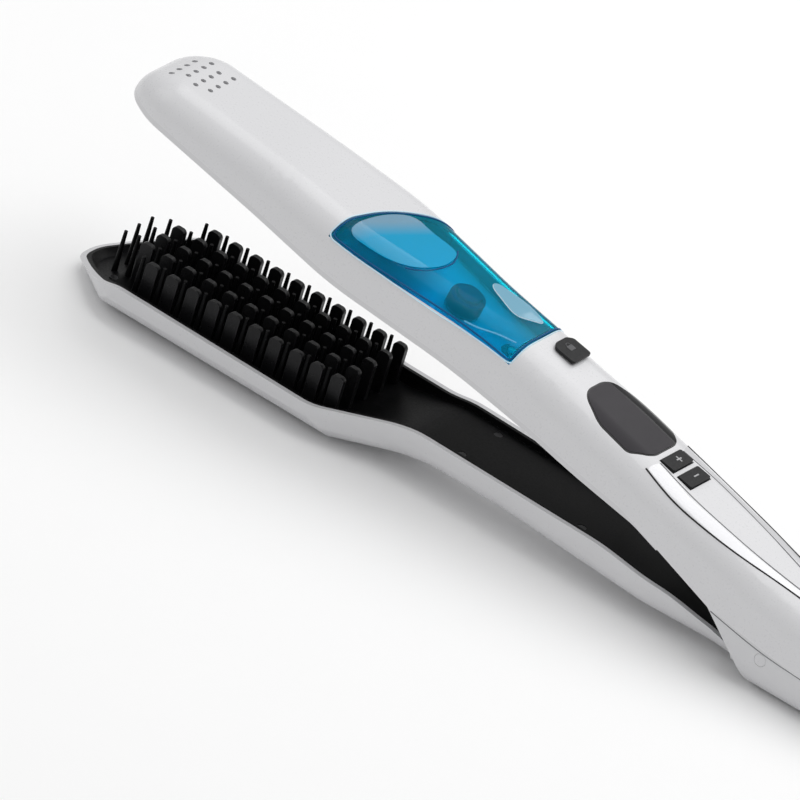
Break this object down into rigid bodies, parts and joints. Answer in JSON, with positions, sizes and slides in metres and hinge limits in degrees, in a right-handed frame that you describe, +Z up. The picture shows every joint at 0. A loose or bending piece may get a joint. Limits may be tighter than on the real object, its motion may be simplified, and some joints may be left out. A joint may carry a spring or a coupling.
{
  "type": "steam hair straightener brush",
  "caption": "Hair straightener with hinged arms: comb head of heated fins below, pressing arm above with a clear blue water tank, display, buttons and a cord gland at the handle's end",
  "frame": {"origin": "on the table under the middle of the brush, which lies on its lower arm's belly and the flat of its handle with the jaw open", "axes": "X runs along the brush from the arms' tips at -X to the cord gland at +X, Y across it, Z up"},
  "size_m": [0.3292, 0.048, 0.0769],
  "materials": {
    "lower_casing": "pearl white moulding",
    "comb_panel": "satin black moulding",
    "panel_screws": "blackened screws",
    "comb_fins": "black coated heated fins",
    "comb_heater": "heater bar",
    "heater_insulator": "insulating sheet",
    "water_tank": "clear blue plastic",
    "tank_plug": "soft plug",
    "display_lens": "dark lens",
    "left_trim": "silver trim",
    "right_trim": "silver trim",
    "upper_shell": "pearl white moulding",
    "arm_underside": "light moulding",
    "press_plate": "dark coated plate",
    "press_heater": "heater bar",
    "steam_rail": "heat resistant moulding",
    "steam_pipe": "silicone tube",
    "water_valve": "valve block",
    "outlet_seal": "sealing ring",
    "tank_seat": "floor of the tank bay",
    "control_board": "circuit board",
    "display_module": "display block",
    "button_switches": "tact switches",
    "plus_button": "black button",
    "minus_button": "black button",
    "tank_lock": "black slider",
    "handle_lower_shell": "pearl white moulding",
    "shell_screws": "steel screws",
    "end_cap": "pearl white moulding",
    "cord_gland": "black bush",
    "hinge_pin": "steel pin",
    "hinge_bushes": "plain bushes",
    "jaw_spring": "spring wire"
  },
  "bodies": {
    "handle": {"upper_shell": "upper_shell", "arm_underside": "arm_underside", "press_plate": "press_plate", "press_heater": "press_heater", "steam_rail": "steam_rail", "steam_pipe": "steam_pipe", "water_valve": "water_valve", "outlet_seal": "outlet_seal", "tank_seat": "tank_seat", "control_board": "control_board", "display_module": "display_module", "button_switches": "button_switches", "display_lens": "display_lens", "left_trim": "left_trim", "right_trim": "right_trim", "handle_lower_shell": "handle_lower_shell", "shell_screws": "shell_screws", "end_cap": "end_cap", "cord_gland": "cord_gland", "hinge_pin": "hinge_pin", "jaw_spring": "jaw_spring"},
    "lower_arm": {"lower_casing": "lower_casing", "comb_panel": "comb_panel", "panel_screws": "panel_screws", "comb_fins": "comb_fins", "comb_heater": "comb_heater", "heater_insulator": "heater_insulator", "hinge_bushes": "hinge_bushes"},
    "tank": {"water_tank": "water_tank", "tank_plug": "tank_plug"},
    "lock": {"tank_lock": "tank_lock"},
    "plus": {"plus_button": "plus_button"},
    "minus": {"minus_button": "minus_button"}
  },
  "joints": [
    {"name": "jaw", "type": "hinge", "parent": "handle", "child": "lower_arm", "pos_m": [0.09045, 0, 0.012], "axis": [0, 1, 0], "range_deg": [0, 9.2], "stiffness_Nm_per_rad": 2, "springref_deg": -11.46, "deforming": ["jaw_spring"]},
    {"name": "tank_lift", "type": "slide", "parent": "handle", "child": "tank", "axis": [0.184, 0, 0.9829], "range_m": [0, 0.025]},
    {"name": "lock_slide", "type": "slide", "parent": "handle", "child": "lock", "axis": [0.9829, 0, -0.184], "range_m": [0, 0.0025]},
    {"name": "plus_press", "type": "slide", "parent": "handle", "child": "plus", "axis": [-0.184, 0, -0.9829], "range_m": [0, 0.0005], "stiffness_N_per_m": 1500, "springref_m": -0.0005},
    {"name": "minus_press", "type": "slide", "parent": "handle", "child": "minus", "axis": [-0.184, 0, -0.9829], "range_m": [0, 0.0005], "stiffness_N_per_m": 1500, "springref_m": -0.0005}
  ]
}
